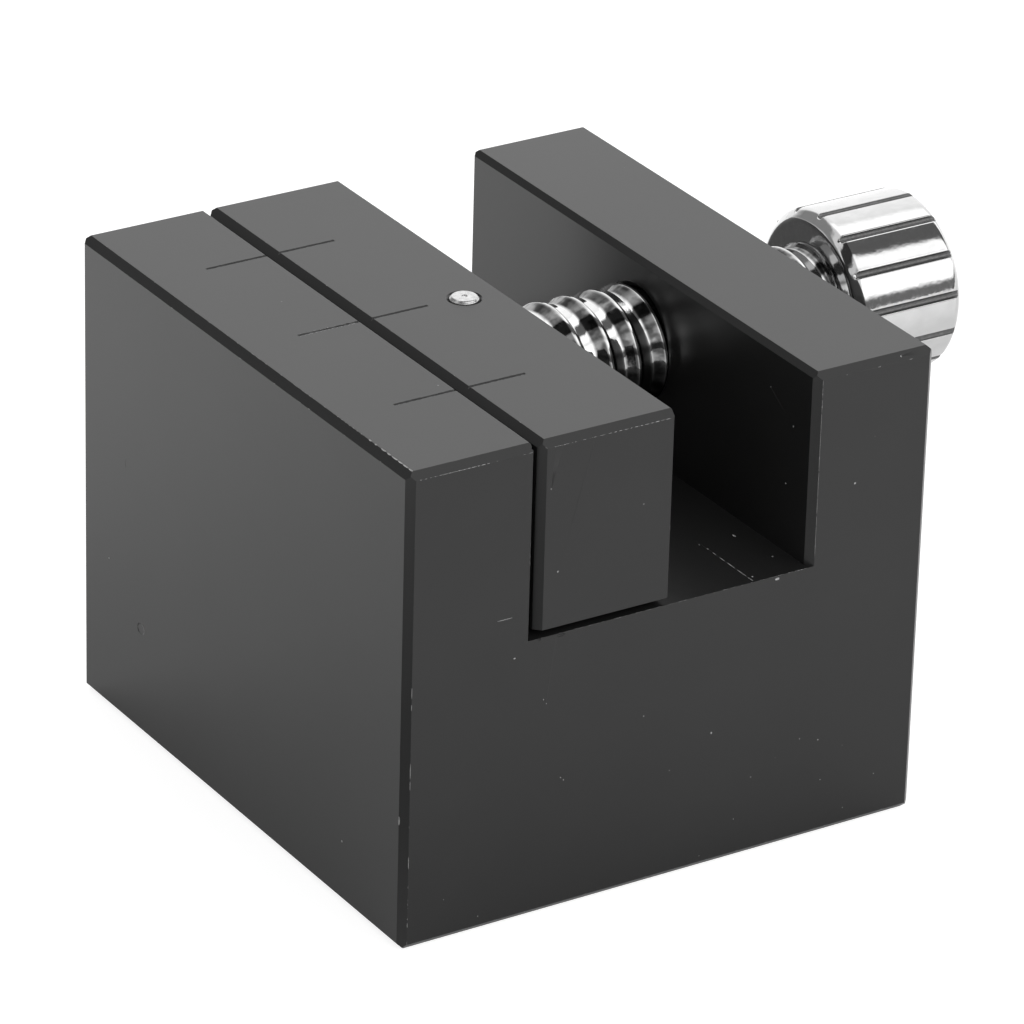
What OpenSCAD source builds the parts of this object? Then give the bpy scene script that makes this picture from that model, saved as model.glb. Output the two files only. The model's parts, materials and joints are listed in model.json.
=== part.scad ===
// Small screw-fed block vice for holding a watch movement.
// X runs from the fixed jaw to the knob, Y runs along the jaws, Z is up.
// The origin is the centre of the block's underside.

/* [Block] */
// Length of the block along the screw
block_length = 35; // [30:0.5:45]
// Width of the block along the jaws
block_width = 37.2; // [30:0.2:50]
// Height of the block
block_height = 29.85; // [29.5:0.05:31]
// Thickness of the upright that is the fixed jaw
fixed_jaw_thickness = 8; // [6:0.2:10]
// Distance between the two uprights
slot_length = 18.8; // [17:0.2:21]
// Depth of the slot below the top face
slot_depth = 12.1; // [11.5:0.1:13]
// Width of the bevels on the outer edges
edge_bevel = 0.43; // [0.2:0.05:0.8]
// Width of the bevel along the top of the nut upright, on the side of the slot
nut_bevel = 0.34; // [0.2:0.02:0.6]
// Width of the small bevels on the jaws' gripping faces
slot_bevel = 0.06; // [0.04:0.01:0.2]

/* [Sliding jaw] */
// Thickness of the sliding jaw along the screw
jaw_thickness = 8.8; // [8:0.1:10]
// Gap between the jaws as drawn
jaw_gap = 0.46; // [0.45:0.01:1]
// Clearance between the sliding jaw and the floor of the slot
jaw_floor_gap = 0.45; // [0.1:0.05:0.6]
// Width of the bevels on the sliding jaw
jaw_bevel = 0.42; // [0.2:0.02:0.6]

/* [Screw] */
// Height of the screw's axis above the underside
screw_height = 24.5; // [24.2:0.1:24.8]
// Outside diameter of the thread
thread_diameter = 7.2; // [6.6:0.1:7.6]
// Advance of the screw in one turn
thread_pitch = 1.84; // [1.6:0.02:2.4]
// Depth of the thread
thread_depth = 0.4; // [0.3:0.05:0.6]
// Diameter of the nose that turns in the sliding jaw
nose_diameter = 5; // [4.4:0.1:5]
// Length of the nose
nose_length = 5.6; // [5:0.1:6]
// Distance between the nut upright and the knob as drawn
neck_length = 4.05; // [3:0.05:8]

/* [Knob] */
// Diameter of the knob
knob_diameter = 11; // [10:0.1:14]
// Length of the knob
knob_length = 7.6; // [6:0.1:10]
// Number of flutes round the knob
flute_count = 14; // [8:1:20]
// Radius of each flute
flute_radius = 0.22; // [0.15:0.01:0.35]
// Width of the bevel on the knob's rims
knob_bevel = 0.55; // [0.3:0.05:0.8]

/* [Pin] */
// Diameter of the retaining pin
pin_diameter = 1.76; // [1.5:0.02:2]
// Distance from the pin's centre to the face of the jaw that the screw enters
pin_setback = 2.35; // [2:0.05:2.6]
// Height that the pin stands above the top of the jaw
pin_rise = 0.15; // [0:0.05:0.4]

/* [Reference lines] */
// Distance between the lines across the jaws
line_spacing = 10.55; // [8:0.05:12]
// Length of each line
line_length = 8.6; // [4:0.1:12]
// Width of each line
line_width = 0.23; // [0.1:0.01:0.3]
// Depth of each line
line_depth = 0.12; // [0.04:0.01:0.15]

/* [Hidden] */

// Facets round a plain turned surface, and round the thread
round_sides = 96;
thread_sides = 36;
// How far a cutter runs past the surface that it opens
over = 1;

// Block
half_length = block_length / 2;
half_width = block_width / 2;
fixed_jaw_face = -half_length + fixed_jaw_thickness;
nut_face = fixed_jaw_face + slot_length;
slot_floor = block_height - slot_depth;

// Sliding jaw
jaw_left = fixed_jaw_face + jaw_gap;
jaw_right = jaw_left + jaw_thickness;
jaw_bottom = slot_floor + jaw_floor_gap;

// Thread: it runs from just outside the sliding jaw to the knob
thread_radius = thread_diameter / 2;
root_radius = thread_radius - thread_depth;
thrust_gap = 0.05;
thread_start = jaw_right + thrust_gap;
thread_end = half_length + neck_length;
thread_clearance = 0.06;
// Place where the crest of the thread is uppermost
crest_place = 8.8;
// Parts of one pitch taken by the crest and by each flank
crest_share = 0.24;
flank_share = 0.3;
thread_bevel = 0.3;

// Nose, ring groove and tail
nose_radius = nose_diameter / 2;
nose_clearance = 0.05;
nose_bevel = 0.4;
bore_end_gap = 0.3;
bore_depth = nose_length + bore_end_gap;
pin_radius = pin_diameter / 2;
pin_place = jaw_right - pin_setback;
groove_clearance = 0.1;
groove_radius = 1.7;
pin_tip_gap = 0.06;
pin_tip = screw_height + groove_radius + pin_tip_gap;
pin_top = block_height + pin_rise;
pin_bevel = 0.15;
pin_mouth = 0.18;
centre_mark_radius = 0.22;
tail_radius = 2.4;
tail_length = 5.2;
tail_gap = 0.1;

// Knob
knob_radius = knob_diameter / 2;
flute_turn = 2.6;
face_dish_radius = 3.6;
face_dish_depth = 0.35;

// Reference lines
line_shift = 0.15;

black_anodised = [0.13, 0.13, 0.135];
chrome = [0.82, 0.83, 0.85];
bare_steel = [0.66, 0.67, 0.68];

// Turns a shape drawn along Z so that it lies along X on the screw's axis.
module on_screw_axis(x) {
    translate([x, 0, screw_height]) rotate([0, 90, 0]) children();
}

// Round hole along the screw's axis, from one radius to another.
module axis_hole(x, length, start_radius, end_radius) {
    on_screw_axis(x) cylinder(r1 = start_radius, r2 = end_radius, h = length, $fn = round_sides);
}

// Solid of revolution along Z with a bevel of its own at each end.
module bevelled_rod(radius, length, low_bevel, high_bevel) {
    rotate_extrude($fn = round_sides)
        polygon([
            [0, 0], [radius - low_bevel, 0], [radius, low_bevel],
            [radius, length - high_bevel], [radius - high_bevel, length], [0, length]
        ]);
}

// Rectangle with a bevel on each corner.
module bevelled_rectangle(low, high, bevel) {
    polygon([
        [low[0] + bevel, low[1]], [high[0] - bevel, low[1]],
        [high[0], low[1] + bevel], [high[0], high[1] - bevel],
        [high[0] - bevel, high[1]], [low[0] + bevel, high[1]],
        [low[0], high[1] - bevel], [low[0], low[1] + bevel]
    ]);
}

// Box with every edge bevelled: three bevelled outlines intersected.
module bevelled_box(low, high, bevel) {
    intersection() {
        translate([0, 0, low[2]]) linear_extrude(high[2] - low[2])
            bevelled_rectangle([low[0], low[1]], [high[0], high[1]], bevel);
        translate([0, high[1], 0]) rotate([90, 0, 0]) linear_extrude(high[1] - low[1])
            bevelled_rectangle([low[0], low[2]], [high[0], high[2]], bevel);
        translate([low[0], 0, 0]) rotate([90, 0, 90]) linear_extrude(high[0] - low[0])
            bevelled_rectangle([low[1], low[2]], [high[1], high[2]], bevel);
    }
}

// Prism along Y that bevels a top edge at x, which faces the slot.
module slot_top_bevel(x, size) {
    translate([x, half_width + over, block_height]) rotate([90, 0, 0])
        linear_extrude(block_width + 2 * over) rotate(45)
            square(size * sqrt(2), center = true);
}

// Prism along Z that bevels the upright edge at x and y inside the slot.
module slot_side_bevel(x, y, size) {
    translate([x, y, slot_floor]) linear_extrude(slot_depth + over) rotate(45)
        square(size * sqrt(2), center = true);
}

// The engraved lines that cross both jaws at the top.
module reference_lines() {
    line_middle = fixed_jaw_face + jaw_gap / 2;
    for (row = [-1 : 1])
        translate([line_middle, row * line_spacing + line_shift, block_height])
            cube([line_length, line_width, 2 * line_depth], center = true);
}

module base_block() {
    color(black_anodised) difference() {
        bevelled_box([-half_length, -half_width, 0],
            [half_length, half_width, block_height], edge_bevel);
        translate([fixed_jaw_face, -half_width - over, slot_floor])
            cube([slot_length, block_width + 2 * over, slot_depth + over]);
        slot_top_bevel(fixed_jaw_face, slot_bevel);
        slot_top_bevel(nut_face, nut_bevel);
        for (side = [-1, 1]) {
            slot_side_bevel(nut_face, side * half_width, edge_bevel);
            slot_side_bevel(fixed_jaw_face, side * half_width, slot_bevel);
        }
        nut_bore();
        reference_lines();
    }
}

// The thread's hole through the nut upright, with a bevelled mouth at each end.
module nut_bore() {
    bore_radius = thread_radius + thread_clearance;
    mouth = 0.1;
    axis_hole(nut_face - over, half_length - nut_face + 2 * over, bore_radius, bore_radius);
    axis_hole(nut_face, mouth, bore_radius + mouth, bore_radius);
    axis_hole(half_length - mouth, mouth, bore_radius, bore_radius + mouth);
}

module sliding_jaw() {
    bore_radius = nose_radius + nose_clearance;
    color(black_anodised) difference() {
        jaw_blank();
        slot_top_bevel(jaw_right, slot_bevel);
        for (side = [-1, 1]) slot_side_bevel(jaw_right, side * half_width, slot_bevel);
        axis_hole(jaw_right - bore_depth, bore_depth + over, bore_radius, bore_radius);
        translate([pin_place, 0, screw_height]) cylinder(r = pin_radius, h = slot_depth, $fn = round_sides);
        translate([pin_place, 0, block_height - pin_mouth])
            cylinder(r1 = pin_radius, r2 = pin_radius + pin_mouth, h = pin_mouth, $fn = round_sides);
        reference_lines();
    }
}

// The jaw before it is drilled. The edges of its underside and of its face towards the nut are square.
module jaw_blank() {
    jaw_height = block_height - jaw_bottom;
    intersection() {
        bevelled_box([jaw_left, -half_width, jaw_bottom - jaw_bevel],
            [jaw_right + jaw_bevel, half_width, block_height], jaw_bevel);
        translate([jaw_left, -half_width, jaw_bottom])
            cube([jaw_thickness, block_width, jaw_height]);
    }
}

module retaining_pin() {
    color(bare_steel) difference() {
        translate([pin_place, 0, pin_tip])
            bevelled_rod(pin_radius, pin_top - pin_tip, pin_bevel, pin_bevel);
        translate([pin_place, 0, pin_top - centre_mark_radius])
            cylinder(r1 = 0, r2 = centre_mark_radius, h = centre_mark_radius, $fn = round_sides);
    }
}

// Radius of the thread at each corner of its outline in one pitch.
corner_levels = [thread_radius, thread_radius, root_radius, root_radius];

// Places of the same corners, as fractions of the pitch.
corner_places = [
    -crest_share / 2, crest_share / 2,
    crest_share / 2 + flank_share, 1 - crest_share / 2 - flank_share
];
corner_count = len(corner_places);

// The helix starts and ends at least one turn outside the length that is kept.
first_turns = ceil((crest_place - thread_start) / thread_pitch) + 1;
helix_start = crest_place - (first_turns + 0.5) * thread_pitch;
turn_count = ceil((thread_end - helix_start) / thread_pitch) + 1;
ring_count = corner_count * turn_count + 1;

// Number of the point on a ring at a side: the side after the last is on the next turn.
function point_at(ring, side) =
    side < thread_sides ? ring * thread_sides + side : (ring + corner_count) * thread_sides;

// Rings of points. A ring follows one corner of the outline through one turn of the helix.
helix_points = [
    for (ring = [0 : ring_count - 1], side = [0 : thread_sides - 1])
        let (
            corner = ring % corner_count,
            turns = floor(ring / corner_count) + corner_places[corner] + side / thread_sides,
            level = corner_levels[corner],
            angle = 360 * side / thread_sides
        )
        [level * cos(angle), level * sin(angle), helix_start + turns * thread_pitch]
];

// Triangles between neighbouring rings.
helix_faces = [
    for (ring = [0 : ring_count - 2], side = [0 : thread_sides - 1])
        if (side < thread_sides - 1 || ring + 1 + corner_count < ring_count)
            for (half = [0, 1])
                half == 0
                    ? [point_at(ring, side), point_at(ring + 1, side), point_at(ring + 1, side + 1)]
                    : [point_at(ring, side), point_at(ring + 1, side + 1), point_at(ring, side + 1)]
];

// Loops of points round the two open ends of the helix.
low_loop = concat(
    [for (side = [0 : thread_sides - 1]) point_at(0, side)],
    [for (ring = [corner_count : -1 : 1]) point_at(ring, 0)]
);
high_loop = concat(
    [for (side = [0 : thread_sides - 1]) point_at(ring_count - 1, side)],
    [for (ring = [ring_count - 2 : -1 : ring_count - 1 - corner_count]) point_at(ring, thread_sides - 1)]
);
low_hub = len(helix_points);
high_hub = low_hub + 1;
hub_points = [
    [0, 0, helix_start + thread_pitch / 2],
    [0, 0, helix_start + (turn_count + 0.5) * thread_pitch]
];
low_cap = [
    for (place = [0 : len(low_loop) - 1])
        [low_hub, low_loop[place], low_loop[(place + 1) % len(low_loop)]]
];
high_cap = [
    for (place = [0 : len(high_loop) - 1])
        [high_hub, high_loop[(place + 1) % len(high_loop)], high_loop[place]]
];

// The threaded rod along Z, longer at both ends than the screw needs.
module helix_rod() {
    polyhedron(
        points = concat(helix_points, hub_points),
        faces = concat(helix_faces, low_cap, high_cap)
    );
}

// The threaded length of the screw, trimmed square and bevelled at both ends.
module threaded_length() {
    spare = 0.5;
    on_screw_axis(0) intersection() {
        helix_rod();
        translate([0, 0, thread_start])
            bevelled_rod(thread_radius + spare, thread_end - thread_start,
                spare + thread_bevel, spare + thread_bevel);
    }
}

// The plain nose, with the ring groove for the pin's tip.
module screw_nose() {
    nose_start = jaw_right - nose_length;
    groove_low = pin_place - pin_radius - groove_clearance - nose_start;
    groove_high = pin_place + pin_radius + groove_clearance - nose_start;
    nose_end = thread_start + over - nose_start;
    on_screw_axis(nose_start) rotate_extrude($fn = round_sides)
        polygon([
            [0, 0], [nose_radius - nose_bevel, 0], [nose_radius, nose_bevel],
            [nose_radius, groove_low], [groove_radius, groove_low],
            [groove_radius, groove_high], [nose_radius, groove_high],
            [nose_radius, nose_end], [0, nose_end]
        ]);
}

// The plain tail that the knob is pressed on.
module screw_tail() {
    on_screw_axis(thread_end - over)
        bevelled_rod(tail_radius, tail_length + over, 0, thread_bevel);
}

module lead_screw() {
    color(chrome) {
        threaded_length();
        screw_nose();
        screw_tail();
    }
}

// Outline of the knob, with a shallow dish in its outer face.
module knob_outline() {
    dish_floor = knob_length - face_dish_depth;
    polygon([
        [0, 0], [knob_radius - knob_bevel, 0], [knob_radius, knob_bevel],
        [knob_radius, knob_length - knob_bevel], [knob_radius - knob_bevel, knob_length],
        [face_dish_radius, knob_length], [face_dish_radius - face_dish_depth, dish_floor],
        [0, dish_floor]
    ]);
}

module knob() {
    color(chrome) on_screw_axis(thread_end) difference() {
        rotate_extrude($fn = round_sides) knob_outline();
        translate([0, 0, -over])
            cylinder(r = tail_radius, h = tail_length + tail_gap + over, $fn = round_sides);
        for (flute = [0 : flute_count - 1])
            rotate(flute_turn + flute * 360 / flute_count)
                translate([knob_radius, 0, -over])
                    cylinder(r = flute_radius, h = knob_length + 2 * over, $fn = round_sides);
    }
}

base_block();
sliding_jaw();
retaining_pin();
lead_screw();
knob();
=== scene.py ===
"""Looks of a small screw-fed block vice that holds a watch movement.

X runs from the fixed jaw to the knob, Y along the jaws and Z up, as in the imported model.
Shapes are drawn in millimetres, and a piece is scaled to metres when it is finished.
"""
import json
import math
import random

import bmesh
import bpy
from mathutils import Matrix, Vector


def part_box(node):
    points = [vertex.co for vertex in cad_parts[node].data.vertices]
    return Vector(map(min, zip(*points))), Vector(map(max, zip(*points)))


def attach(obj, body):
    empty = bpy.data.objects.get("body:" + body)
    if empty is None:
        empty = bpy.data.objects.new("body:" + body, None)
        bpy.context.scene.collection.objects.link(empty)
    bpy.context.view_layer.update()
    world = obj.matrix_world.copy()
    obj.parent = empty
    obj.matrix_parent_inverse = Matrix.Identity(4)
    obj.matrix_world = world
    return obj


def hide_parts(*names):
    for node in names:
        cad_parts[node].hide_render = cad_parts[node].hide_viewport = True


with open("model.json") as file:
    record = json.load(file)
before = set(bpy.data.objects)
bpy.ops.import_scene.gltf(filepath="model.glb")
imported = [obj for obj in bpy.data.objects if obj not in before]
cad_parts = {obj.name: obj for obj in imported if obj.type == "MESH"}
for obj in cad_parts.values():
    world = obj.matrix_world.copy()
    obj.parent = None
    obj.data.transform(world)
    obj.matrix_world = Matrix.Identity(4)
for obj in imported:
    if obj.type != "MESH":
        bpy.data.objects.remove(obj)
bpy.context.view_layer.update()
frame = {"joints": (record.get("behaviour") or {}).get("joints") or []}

MM = 0.001
AROUND = 144    # facets round a turned shape
OVER = 1.0      # how far a cutter runs past the surface it opens

# Material slots: plain faces, worn edges (on the knob, its flutes, darkened with painted shade) and
# bare metal
FACE, EDGE, BARE = 0, 1, 2


def box_mm(node):
    """Lowest and highest corners of a CAD node in millimetres."""
    low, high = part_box(node)
    return low / MM, high / MM


# ---------------------------------------------------------------- sizes, from the frame

block_low, block_high = box_mm("base_block")
jaw_low, jaw_high = box_mm("sliding_jaw")
pin_low, pin_high = box_mm("retaining_pin")
screw_low, screw_high = box_mm("lead_screw")
knob_low, knob_high = box_mm("knob")

screw_joint = next(j for j in frame["joints"] if j["name"] == "screw_turn")
AXIS_Z = screw_joint["pos_m"][2] / MM
TOP = block_high.z
FRONT, BACK = block_low.y, block_high.y

# Block
EDGE_BEVEL = 0.43
NUT_BEVEL = 0.34        # bevel along the top of the nut's inner wall
SLOT_BEVEL = 0.06       # bevel round the fixed jaw's face and the sliding jaw's right face
JAW_GAP = 0.46          # between the two jaws
FLOOR_GAP = 0.45        # between the slot's floor and the sliding jaw
SLOT_LENGTH = 18.8
FIXED_FACE = jaw_low.x - JAW_GAP
NUT_FACE = FIXED_FACE + SLOT_LENGTH
FLOOR = jaw_low.z - FLOOR_GAP
EDGE_ROUND = 0.035      # round on every sharp edge

# Sliding jaw
JAW_BEVEL = 0.42
PIN_MOUTH = 0.18        # bevel round the pin's hole
BORE_CLEARANCE = 0.05
BORE_SPARE = 0.3        # depth of the bore beyond the nose

# Pin
PIN_X = (pin_low.x + pin_high.x) / 2
PIN_RADIUS = (pin_high.x - pin_low.x) / 2
PIN_BEVEL = 0.15
PIN_MARK = 0.2          # radius and depth of its centre mark

# Engraved lines
LINE_SPACING = 10.55
LINE_SHIFT = 0.15
LINE_LENGTH = 8.6
LINE_WIDTH = 0.23
LINE_DEPTH = 0.12
LINE_MIDDLE = FIXED_FACE + JAW_GAP / 2

# Thread
PITCH = 1.84
CREST = 3.6             # radius
ROOT = 3.2              # radius
CREST_PLACE = 8.8       # X of one crest, along the top of the screw
CREST_ROUND = 0.16
NUT_CLEARANCE = 0.04
NUT_MOUTH = 0.03        # how much wider in radius the nut's end bevels are than the thread
THREAD_BEVEL = 0.3      # also on the tail's end
THREAD_GAP = 0.05       # between the jaw and the thread's first turn

# Nose and tail of the screw
NOSE = 2.5              # radius
NOSE_BEVEL = 0.4
GROOVE = 1.7            # radius
GROOVE_CLEARANCE = 0.1  # on each side of the pin
TAIL = 2.4              # radius
TAIL_GAP = 0.1          # between the tail's end and the bottom of the knob's hole
SHOULDER_ROUND = 0.06

# Knob
KNOB = 5.5              # radius
KNOB_BEVEL = 0.55
KNOB_ROUND = 0.24
FLUTES = 14
FLUTE = 0.22            # radius
FLUTE_TURN = math.radians(36.0)
DISH = 3.6              # radius
DISH_DEPTH = 0.35


# ---------------------------------------------------------------- mesh tools


def add_object(name, data):
    """An object in the scene that shows a mesh or holds a camera."""
    piece = bpy.data.objects.new(name, data)
    bpy.context.scene.collection.objects.link(piece)
    return piece


def add_slots(mesh):
    """Gives a mesh its empty material slots."""
    for _ in (FACE, EDGE, BARE):
        mesh.materials.append(None)


def mesh_from(bm, name):
    """Turns a bmesh into a mesh with its faces pointing outwards and three material slots."""
    bmesh.ops.recalc_face_normals(bm, faces=bm.faces)
    mesh = bpy.data.meshes.new(name)
    bm.to_mesh(mesh)
    bm.free()
    add_slots(mesh)
    return mesh


def applied(piece):
    """The piece's mesh with its modifiers applied. The piece itself is removed."""
    depsgraph = bpy.context.evaluated_depsgraph_get()
    mesh = bpy.data.meshes.new_from_object(piece.evaluated_get(depsgraph), depsgraph=depsgraph)
    bpy.data.objects.remove(piece)
    return mesh


def combine(mesh, others, operation):
    """Cuts other meshes out of a mesh, or joins or intersects them with it."""
    body = add_object("body", mesh)
    tools = [add_object("tool", other) for other in others]
    for tool in tools:
        step = body.modifiers.new("step", "BOOLEAN")
        step.operation = operation
        step.solver = "MANIFOLD"
        step.object = tool
    result = applied(body)
    for tool in tools:
        bpy.data.objects.remove(tool)
    return result


def cut(mesh, tools):
    """Cuts other meshes out of a mesh."""
    return combine(mesh, tools, "DIFFERENCE")


def hull(points, name):
    """Convex solid round some points, its flat faces made whole."""
    bm = bmesh.new()
    for point in points:
        bm.verts.new(point)
    made = bmesh.ops.convex_hull(bm, input=bm.verts)
    bmesh.ops.delete(bm, geom=list(set(made["geom_interior"])), context="VERTS")
    flat = math.radians(0.5)
    bmesh.ops.dissolve_limit(bm, angle_limit=flat, verts=bm.verts, edges=bm.edges)
    return mesh_from(bm, name)


def plain_box(low, high):
    """Box between two corners."""
    return hull([(x, y, z) for x in (low[0], high[0])
                 for y in (low[1], high[1]) for z in (low[2], high[2])], "box")


def bevelled_box(low, high, bevel):
    """Box with every edge bevelled. Three bevels meet in one point at a corner."""
    points = []
    for corner in range(8):
        sides = [corner >> axis & 1 for axis in range(3)]
        place = Vector([(low, high)[side][axis] for axis, side in enumerate(sides)])
        inward = Vector([bevel if side == 0 else -bevel for side in sides])
        points.append(place + inward / 2)
        for kept in range(3):
            step = inward.copy()
            step[kept] = 0
            points.append(place + step)
    return hull(points, "bevelled_box")


def diamond(centre, axis, size, length):
    """Square bar along an axis, standing on its edge. It cuts a bevel of that size."""
    along = Vector([length / 2 if i == axis else 0 for i in range(3)])
    across = [Vector([size if i == j else 0 for i in range(3)]) for j in range(3) if j != axis]
    centre = Vector(centre)
    return hull([centre + end * along + side * step
                 for end in (-1, 1) for side in (-1, 1) for step in across], "diamond")


def rounded(outline, radius, steps=4):
    """An open outline of (along, radius) points with each corner between its ends rounded."""
    most = 0.45     # of a side's length
    points = [Vector(p) for p in outline]
    result = [points[0]]
    for before, corner, after in zip(points, points[1:], points[2:]):
        reach = min(radius, (corner - before).length * most, (after - corner).length * most)
        start = corner + (before - corner).normalized() * reach
        end = corner + (after - corner).normalized() * reach
        for i in range(steps + 1):
            t = i / steps
            result.append((1 - t) ** 2 * start + 2 * t * (1 - t) * corner + t * t * end)
    result.append(points[-1])
    return result


def subdivided(outline, short, long):
    """Adds points to an outline. Parts along X are at most long, and the others short."""
    result = [outline[0]]
    for a, b in zip(outline, outline[1:]):
        a, b = Vector(a), Vector(b)
        limit = long if abs(a.y - b.y) < 0.001 else short
        parts = max(1, math.ceil((b - a).length / limit))
        if a.y == 0 or b.y == 0:
            parts = 1
        result += [a.lerp(b, i / parts) for i in range(1, parts + 1)]
    return result


def turned(outline, radius_at=None, angles=None):
    """Solid of revolution along X from (x, radius) points. The two ends lie on the axis.

    radius_at(angle, radius) may change the radius round the axis. An angle of 0 is -Y and
    a quarter turn is up."""
    angles = angles or [2 * math.pi * i / AROUND for i in range(AROUND)]
    bm = bmesh.new()
    rings = []
    for x, radius in outline[1:-1]:
        ring = []
        for angle in angles:
            r = radius_at(angle, radius) if radius_at else radius
            ring.append(bm.verts.new((x, -r * math.cos(angle), AXIS_Z + r * math.sin(angle))))
        rings.append(ring)
    count = len(angles)
    for ring, following in zip(rings, rings[1:]):
        for i in range(count):
            k = (i + 1) % count
            bm.faces.new((ring[i], ring[k], following[k], following[i]))
    for ring, end in ((rings[0], outline[0]), (rings[-1], outline[-1])):
        hub = bm.verts.new((end[0], 0, AXIS_Z))
        for i in range(count):
            bm.faces.new((ring[i], ring[(i + 1) % count], hub))
    return mesh_from(bm, "turned")


def axis_cylinder(start, end, start_radius, end_radius):
    """Cylinder or cone on the screw's axis."""
    return turned([(start, 0), (start, start_radius), (end, end_radius), (end, 0)])


def upright(mesh, x, y, z):
    """Turns a mesh made along X on the screw's axis to stand along Z at a place."""
    mesh.transform(Matrix.Translation((0, 0, -AXIS_Z)))
    mesh.transform(Matrix.Rotation(-math.pi / 2, 4, "Y"))
    mesh.transform(Matrix.Translation((x, y, z)))
    return mesh


def scoop(place, sizes, slot, turn=None):
    """Ellipsoid that cuts a small mark. Its faces carry the mark's material slot, and turn is
    the rotation of a mark that doesn't lie along the axes."""
    bm = bmesh.new()
    bmesh.ops.create_icosphere(bm, subdivisions=2, radius=1)
    for face in bm.faces:
        face.material_index = slot
    bm.transform(Matrix.LocRotScale(Vector(place), turn, Vector(sizes)))
    return mesh_from(bm, "scoop")


def merged(mesh):
    """Joins the slivers that the cuts leave on flat faces."""
    flat = math.radians(0.1)
    bm = bmesh.new()
    bm.from_mesh(mesh)
    bmesh.ops.dissolve_limit(bm, angle_limit=flat, verts=bm.verts, edges=bm.edges,
                             delimit={"MATERIAL"})
    bm.to_mesh(mesh)
    bm.free()
    return mesh


def joined(meshes):
    """One mesh that holds several separate shells."""
    bm = bmesh.new()
    for mesh in meshes:
        bm.from_mesh(mesh)
    result = bpy.data.meshes.new("joined")
    bm.to_mesh(result)
    bm.free()
    add_slots(result)
    return result


def soften(mesh):
    """Rounds every sharp edge a little. The narrow strips carry the worn edge material."""
    piece = add_object("soften", mesh)
    bevel = piece.modifiers.new("bevel", "BEVEL")
    bevel.width = EDGE_ROUND
    bevel.segments = 2
    bevel.limit_method = "ANGLE"
    bevel.angle_limit = math.radians(25)
    bevel.material = EDGE
    bevel.use_clamp_overlap = True
    return applied(piece)


def finish_piece(name, mesh, materials, node, body, planar=False):
    """Scales a mesh to metres, shades it smooth and puts it in the place of its CAD node.

    A piece with fewer materials than slots repeats its last one. planar is for a piece with
    large flat faces and many marks: they are divided evenly, after their normals are set."""
    mesh.transform(Matrix.Scale(MM, 4))
    mesh.shade_smooth()
    for number in range(len(mesh.materials)):
        mesh.materials[number] = materials[min(number, len(materials) - 1)]
    mesh.name = name
    piece = add_object(name, mesh)
    normals = piece.modifiers.new("normals", "WEIGHTED_NORMAL")
    normals.mode = "FACE_AREA"
    normals.weight = 100
    if planar:
        even = piece.modifiers.new("even", "TRIANGULATE")
        even.min_vertices = 5
        even.ngon_method = "BEAUTY"
        even.keep_custom_normals = True
    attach(piece, body)
    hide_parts(node)


# ---------------------------------------------------------------- thread


def thread_profile(clearance):
    """One pitch of the rolled thread as (place / pitch, radius) points from crest to crest.

    The flank on the jaw's side of a crest is longer than the one on the knob's side. In shape
    a height of 1 is the crest and 0 is the root."""
    shape = [(0, 1), (0.05, 1), (0.17, 0.08), (0.56, 0), (0.88, 0.86), (0.95, 1), (1, 1)]
    corners = [(place * PITCH, ROOT + (CREST - ROOT) * height + clearance)
               for place, height in shape]
    return [(x / PITCH, radius) for x, radius in rounded(corners, CREST_ROUND, 5)[:-1]]


def helix(start, end, clearance=0.0):
    """Threaded rod along X that runs on about two turns beyond start and end."""
    spare = 2
    profile = thread_profile(clearance)
    first = math.floor((start - CREST_PLACE) / PITCH) - spare
    turns = math.ceil((end - CREST_PLACE) / PITCH) + spare - first
    bm = bmesh.new()
    rings = []
    for turn in range(turns):
        for share, radius in profile:
            ring = []
            for side in range(AROUND):
                angle = 2 * math.pi * side / AROUND
                x = CREST_PLACE + (first + turn + share + 0.25 - side / AROUND) * PITCH
                place = (x, -radius * math.cos(angle), AXIS_Z + radius * math.sin(angle))
                ring.append(bm.verts.new(place))
            rings.append(ring)
    step = len(profile)

    def vertex(ring, side):
        """A vertex of a ring. The one after the last side belongs to the turn before."""
        return rings[ring][side] if side < AROUND else rings[ring - step][0]

    for ring in range(len(rings) - 1):
        for side in range(AROUND):
            if side == AROUND - 1 and ring < step:
                continue
            bm.faces.new((vertex(ring, side), vertex(ring + 1, side),
                          vertex(ring + 1, side + 1), vertex(ring, side + 1)))
    last = len(rings) - 1
    low = rings[0] + [rings[k][-1] for k in range(1, step + 1)]
    high = rings[last] + [rings[k][0] for k in range(last - step, last)]
    for loop, x in ((low, start - spare * PITCH), (high, end + spare * PITCH)):
        hub = bm.verts.new((x, 0, AXIS_Z))
        for a, b in zip(loop, loop[1:] + loop[:1]):
            bm.faces.new((a, b, hub))
    return mesh_from(bm, "helix")


# ---------------------------------------------------------------- marks and wear


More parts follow.
